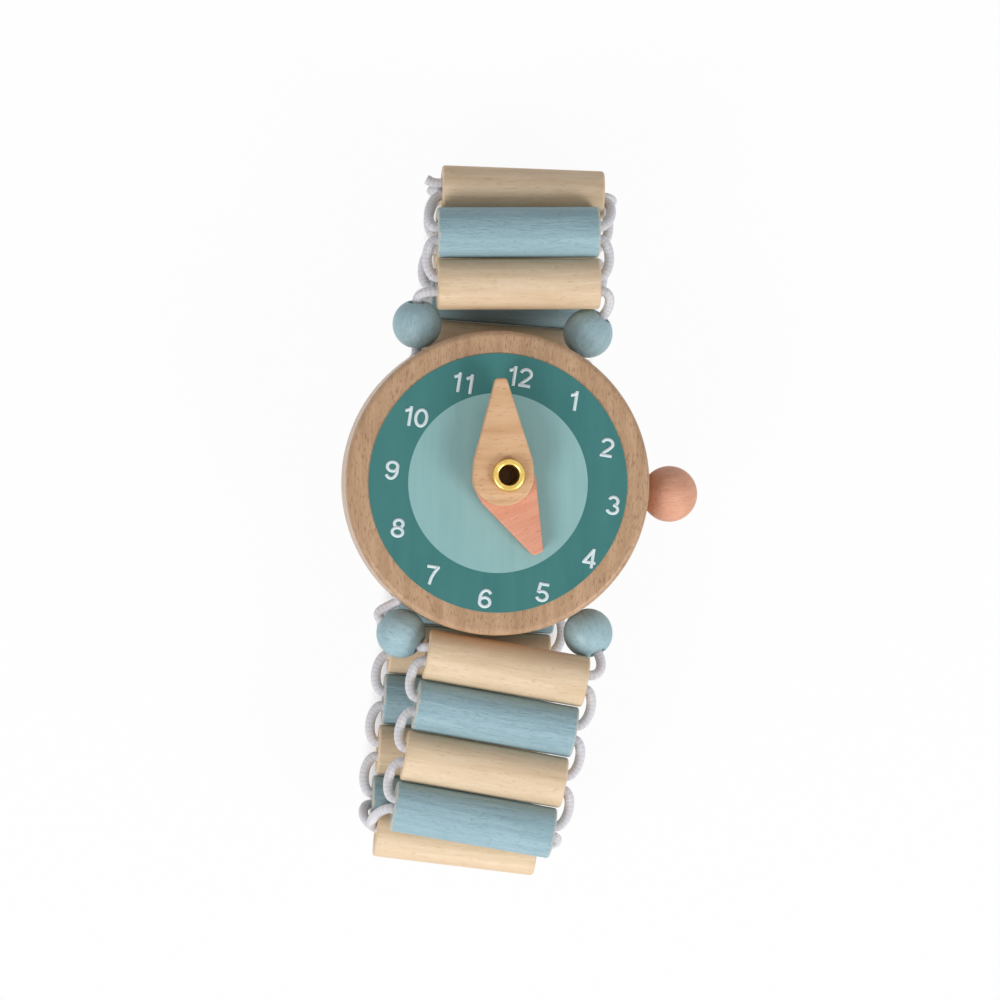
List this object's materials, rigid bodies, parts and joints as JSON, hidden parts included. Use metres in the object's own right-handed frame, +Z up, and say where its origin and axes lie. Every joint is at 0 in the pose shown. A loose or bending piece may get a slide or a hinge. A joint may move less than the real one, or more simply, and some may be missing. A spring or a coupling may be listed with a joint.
{
  "type": "toy watch",
  "caption": "Wooden toy watch: round case with a printed dial, two turning hands on a brass eyelet, a ball crown and a strap of round slats on elastic cord.",
  "frame": {"origin": "on the case's axis, at the level of the table that the lower row of slats lies on", "axes": "+X to the crown side, +Y from the six to the twelve side along the strap, +Z up out of the dial"},
  "size_m": [0.0469, 0.0942, 0.0254],
  "materials": {
    "beech": "fine sanded, clear oiled",
    "plain_wood": "fine sanded, bare",
    "blue_wood": "thin matt paint, grain showing",
    "coral_wood": "thin matt paint, grain showing",
    "dark_teal_paint": "matt screen print",
    "pale_teal_paint": "matt screen print",
    "brass": "bright rolled",
    "white_cord": "braided elastic"
  },
  "bodies": {
    "case": {"case": "beech", "dial_ring": "dark_teal_paint", "dial_middle": "pale_teal_paint", "hand_eyelet": "brass", "cord_through_case": "white_cord"},
    "hour_hand": {"hour_hand": "coral_wood"},
    "minute_hand": {"minute_hand": "plain_wood"},
    "crown": {"crown_ball": "coral_wood", "crown_peg": "plain_wood"},
    "bead_top_right": {"bead_top_right": "blue_wood"},
    "bead_top_left": {"bead_top_left": "blue_wood"},
    "bead_bottom_left": {"bead_bottom_left": "blue_wood"},
    "bead_bottom_right": {"bead_bottom_right": "blue_wood"},
    "slat_01": {"slat_01": "plain_wood", "cord_01": "white_cord"},
    "slat_02": {"slat_02": "blue_wood", "cord_02": "white_cord"},
    "slat_03": {"slat_03": "plain_wood", "cord_03": "white_cord"},
    "slat_04": {"slat_04": "blue_wood", "cord_04": "white_cord"},
    "slat_05": {"slat_05": "plain_wood", "cord_05": "white_cord"},
    "slat_06": {"slat_06": "blue_wood", "cord_06": "white_cord"},
    "slat_07": {"slat_07": "plain_wood", "cord_07": "white_cord"},
    "slat_08": {"slat_08": "blue_wood", "cord_08": "white_cord"},
    "slat_09": {"slat_09": "plain_wood", "cord_09": "white_cord"},
    "slat_10": {"slat_10": "blue_wood", "cord_10": "white_cord"},
    "slat_11": {"slat_11": "plain_wood", "cord_11": "white_cord"},
    "slat_12": {"slat_12": "blue_wood", "cord_12": "white_cord"},
    "slat_13": {"slat_13": "plain_wood", "cord_13": "white_cord"},
    "slat_14": {"slat_14": "blue_wood", "cord_14": "white_cord"},
    "slat_15": {"slat_15": "plain_wood", "cord_15": "white_cord"},
    "slat_16": {"slat_16": "blue_wood", "cord_16": "white_cord"},
    "slat_17": {"slat_17": "plain_wood", "cord_17": "white_cord"},
    "slat_18": {"slat_18": "blue_wood", "cord_18": "white_cord"},
    "slat_19": {"slat_19": "plain_wood", "cord_19": "white_cord"},
    "slat_20": {"slat_20": "blue_wood", "cord_20": "white_cord"},
    "slat_21": {"slat_21": "plain_wood", "cord_21": "white_cord"}
  },
  "joints": [
    {"name": "minute_hand_turn", "type": "hinge", "parent": "case", "child": "minute_hand", "pos_m": [0.0011, 0.001, 0.02], "axis": [0, 0, -1], "continuous": true},
    {"name": "hour_hand_turn", "type": "hinge", "parent": "case", "child": "hour_hand", "pos_m": [0.0011, 0.001, 0.02], "axis": [0, 0, -1], "continuous": true},
    {"name": "crown_turn", "type": "hinge", "parent": "case", "child": "crown", "pos_m": [0.01996, -0.00122, 0.0135], "axis": [0.9981, -0.061, 0], "continuous": true},
    {"name": "bead_top_right_turn", "type": "hinge", "parent": "case", "child": "bead_top_right", "pos_m": [0.01237, 0.0198, 0.0135], "axis": [0.6263, 0.7464, 0.225], "continuous": true},
    {"name": "bead_top_left_turn", "type": "hinge", "parent": "case", "child": "bead_top_left", "pos_m": [-0.01024, 0.02099, 0.0135], "axis": [0, 0.9744, 0.225], "continuous": true},
    {"name": "bead_bottom_left_turn", "type": "hinge", "parent": "case", "child": "bead_bottom_left", "pos_m": [-0.01237, -0.0198, 0.0135], "axis": [0.8078, -0.5449, 0.225], "continuous": true},
    {"name": "bead_bottom_right_turn", "type": "hinge", "parent": "case", "child": "bead_bottom_right", "pos_m": [0.01237, -0.0198, 0.0135], "axis": [0.4118, -0.8831, 0.225], "continuous": true},
    {"name": "strap_hinge_01", "type": "hinge", "parent": "case", "child": "slat_01", "pos_m": [0.003, 0.02623, 0.0154], "axis": [-1, -0.0052, 0], "range_deg": [0, 63.4]},
    {"name": "strap_hinge_02", "type": "hinge", "parent": "slat_01", "child": "slat_02", "pos_m": [0.00296, 0.03303, 0.0154], "axis": [-1, -0.0052, 0], "range_deg": [-32.35, 0.5]},
    {"name": "strap_hinge_03", "type": "hinge", "parent": "slat_02", "child": "slat_03", "pos_m": [0.00388, 0.03837, 0.01058], "axis": [-0.9994, 0.0349, 0], "range_deg": [-39.28, 0.5]},
    {"name": "strap_hinge_04", "type": "hinge", "parent": "slat_03", "child": "slat_04", "pos_m": [0.0043, 0.03805, 0.00335], "axis": [-0.9972, 0.075, 0], "range_deg": [-82, 0.5]},
    {"name": "strap_hinge_05", "type": "hinge", "parent": "slat_04", "child": "slat_05", "pos_m": [0.00352, 0.03129, 0.00335], "axis": [-0.9972, 0.075, 0], "range_deg": [-0.5, 37.04]},
    {"name": "strap_hinge_06", "type": "hinge", "parent": "slat_05", "child": "slat_06", "pos_m": [0.00274, 0.02454, 0.00335], "axis": [-0.9972, 0.075, 0], "range_deg": [-0.5, 12.34]},
    {"name": "strap_hinge_07", "type": "hinge", "parent": "slat_06", "child": "slat_07", "pos_m": [0.00196, 0.01778, 0.00335], "axis": [-0.9972, 0.075, 0], "range_deg": [-0.5, 9.65]},
    {"name": "strap_hinge_08", "type": "hinge", "parent": "slat_07", "child": "slat_08", "pos_m": [0.00118, 0.01103, 0.00335], "axis": [-0.9972, 0.075, 0], "range_deg": [-0.5, 8.65]},
    {"name": "strap_hinge_09", "type": "hinge", "parent": "slat_08", "child": "slat_09", "pos_m": [0.00039, 0.00427, 0.00335], "axis": [-0.9972, 0.075, 0], "range_deg": [-0.5, 8.15]},
    {"name": "strap_hinge_10", "type": "hinge", "parent": "slat_09", "child": "slat_10", "pos_m": [-0.00039, -0.00248, 0.00335], "axis": [-0.9972, 0.075, 0], "range_deg": [-0.5, 8]},
    {"name": "strap_hinge_21", "type": "hinge", "parent": "case", "child": "slat_21", "pos_m": [0.0014, -0.02437, 0.0154], "axis": [0.9845, -0.1754, 0], "range_deg": [-0.5, 61.71]},
    {"name": "strap_hinge_20", "type": "hinge", "parent": "slat_21", "child": "slat_20", "pos_m": [-0.00005, -0.03102, 0.0154], "axis": [0.9845, -0.1754, 0], "range_deg": [-0.5, 8.17]},
    {"name": "strap_hinge_19", "type": "hinge", "parent": "slat_20", "child": "slat_19", "pos_m": [-0.0015, -0.03766, 0.0154], "axis": [0.9845, -0.1754, 0], "range_deg": [-0.5, 6.58]},
    {"name": "strap_hinge_18", "type": "hinge", "parent": "slat_19", "child": "slat_18", "pos_m": [-0.00295, -0.0443, 0.0154], "axis": [0.9845, -0.1754, 0], "range_deg": [-63.48, 0.5]},
    {"name": "strap_hinge_17", "type": "hinge", "parent": "slat_18", "child": "slat_17", "pos_m": [-0.00487, -0.04739, 0.00913], "axis": [0.9921, -0.1253, 0], "range_deg": [-45.86, 0.5]},
    {"name": "strap_hinge_16", "type": "hinge", "parent": "slat_17", "child": "slat_16", "pos_m": [-0.00508, -0.04301, 0.00335], "axis": [0.9972, -0.075, 0], "range_deg": [-16.89, 0.5]},
    {"name": "strap_hinge_15", "type": "hinge", "parent": "slat_16", "child": "slat_15", "pos_m": [-0.0043, -0.03626, 0.00335], "axis": [0.9972, -0.075, 0], "range_deg": [-0.5, 18.51]},
    {"name": "strap_hinge_14", "type": "hinge", "parent": "slat_15", "child": "slat_14", "pos_m": [-0.00351, -0.0295, 0.00335], "axis": [0.9972, -0.075, 0], "range_deg": [-0.5, 11.79]},
    {"name": "strap_hinge_13", "type": "hinge", "parent": "slat_14", "child": "slat_13", "pos_m": [-0.00273, -0.02275, 0.00335], "axis": [0.9972, -0.075, 0], "range_deg": [-0.5, 9.74]},
    {"name": "strap_hinge_12", "type": "hinge", "parent": "slat_13", "child": "slat_12", "pos_m": [-0.00195, -0.01599, 0.00335], "axis": [0.9972, -0.075, 0], "range_deg": [-0.5, 8.93]},
    {"name": "strap_hinge_11", "type": "hinge", "parent": "slat_12", "child": "slat_11", "pos_m": [-0.00117, -0.00924, 0.00335], "axis": [0.9972, -0.075, 0], "range_deg": [-0.5, 11.2]}
  ],
  "couplings": [
    {"joint": "strap_hinge_02", "follows": "strap_hinge_01", "ratio": -0.5023},
    {"joint": "strap_hinge_03", "follows": "strap_hinge_01", "ratio": -0.6117},
    {"joint": "strap_hinge_04", "follows": "strap_hinge_01", "ratio": -1.2855},
    {"joint": "strap_hinge_05", "follows": "strap_hinge_01", "ratio": 0.5764},
    {"joint": "strap_hinge_06", "follows": "strap_hinge_01", "ratio": 0.1867},
    {"joint": "strap_hinge_07", "follows": "strap_hinge_01", "ratio": 0.1443},
    {"joint": "strap_hinge_08", "follows": "strap_hinge_01", "ratio": 0.1285},
    {"joint": "strap_hinge_09", "follows": "strap_hinge_01", "ratio": 0.1207},
    {"joint": "strap_hinge_10", "follows": "strap_hinge_01", "ratio": 0.1183},
    {"joint": "strap_hinge_21", "follows": "strap_hinge_01", "ratio": 0.9655},
    {"joint": "strap_hinge_20", "follows": "strap_hinge_01", "ratio": 0.1209},
    {"joint": "strap_hinge_19", "follows": "strap_hinge_01", "ratio": 0.0959},
    {"joint": "strap_hinge_18", "follows": "strap_hinge_01", "ratio": -0.9934},
    {"joint": "strap_hinge_17", "follows": "strap_hinge_01", "ratio": -0.7155},
    {"joint": "strap_hinge_16", "follows": "strap_hinge_01", "ratio": -0.2585},
    {"joint": "strap_hinge_15", "follows": "strap_hinge_01", "ratio": 0.284},
    {"joint": "strap_hinge_14", "follows": "strap_hinge_01", "ratio": 0.1781},
    {"joint": "strap_hinge_13", "follows": "strap_hinge_01", "ratio": 0.1458},
    {"joint": "strap_hinge_12", "follows": "strap_hinge_01", "ratio": 0.1329},
    {"joint": "strap_hinge_11", "follows": "strap_hinge_01", "ratio": 0.1688}
  ]
}
